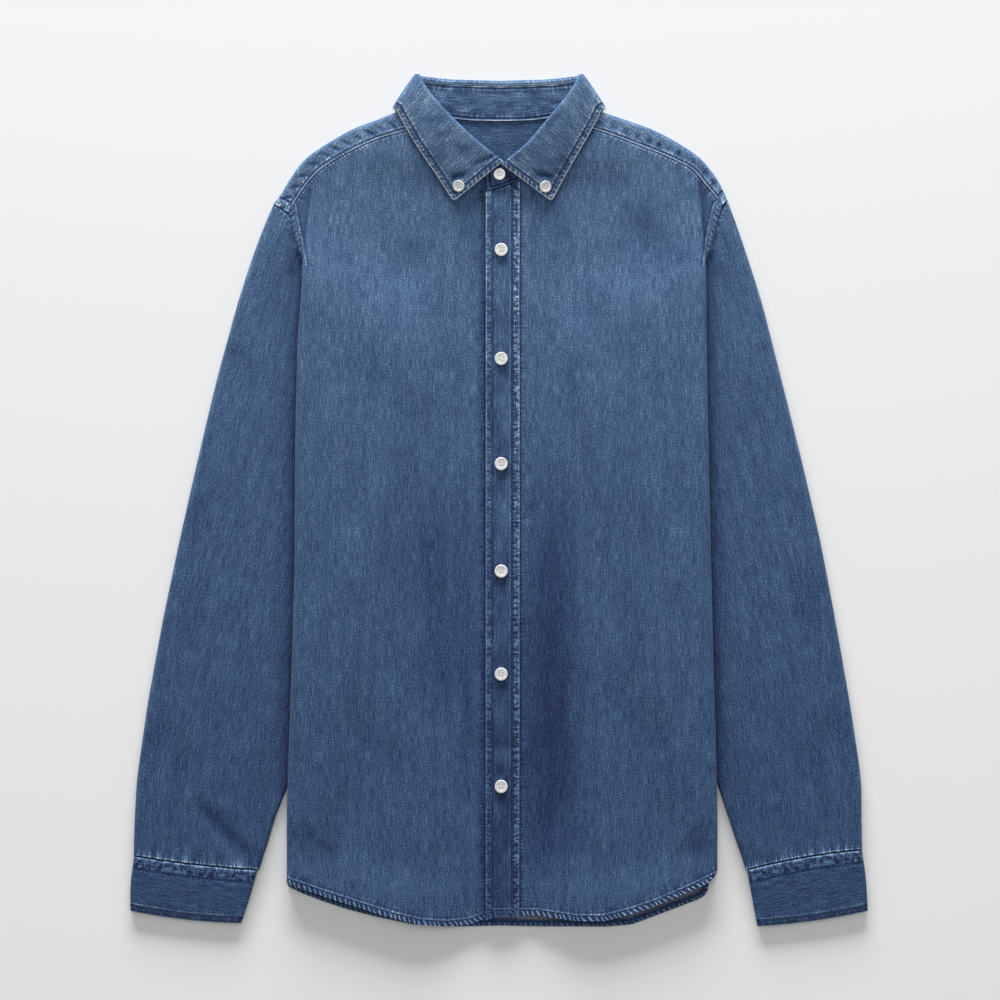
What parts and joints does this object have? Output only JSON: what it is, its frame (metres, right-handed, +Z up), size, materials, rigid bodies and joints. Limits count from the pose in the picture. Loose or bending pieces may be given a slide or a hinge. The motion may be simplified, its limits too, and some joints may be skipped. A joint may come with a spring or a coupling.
{
  "type": "denim shirt",
  "caption": "Long-sleeved button-down shirt in washed blue denim, laid flat on its back with its front buttoned.",
  "frame": {"origin": "On the floor under the middle of the shirt as it lies, halfway across and halfway along.", "axes": "+X towards the wearer's left sleeve, +Y towards the neck, +Z up from the floor through the front."},
  "size_m": [0.6778, 0.7834, 0.0167],
  "materials": {
    "denim": "washed denim, faded along the seams",
    "denim_light": "washed denim, paler with wear",
    "denim_dark": "washed denim, darker",
    "button": "off-white, softly polished"
  },
  "bodies": {
    "root": {"back": "denim_dark", "yoke": "denim_light", "front_left": "denim", "front_right": "denim", "placket": "denim", "sleeve_left": "denim", "sleeve_right": "denim", "cuff_left": "denim_dark", "cuff_right": "denim_dark", "collar_stand": "denim", "collar": "denim_light", "button_1": "button", "button_2": "button", "button_3": "button", "button_4": "button", "button_5": "button", "button_6": "button", "button_neck": "button", "button_collar_left": "button", "button_collar_right": "button"}
  },
  "joints": []
}
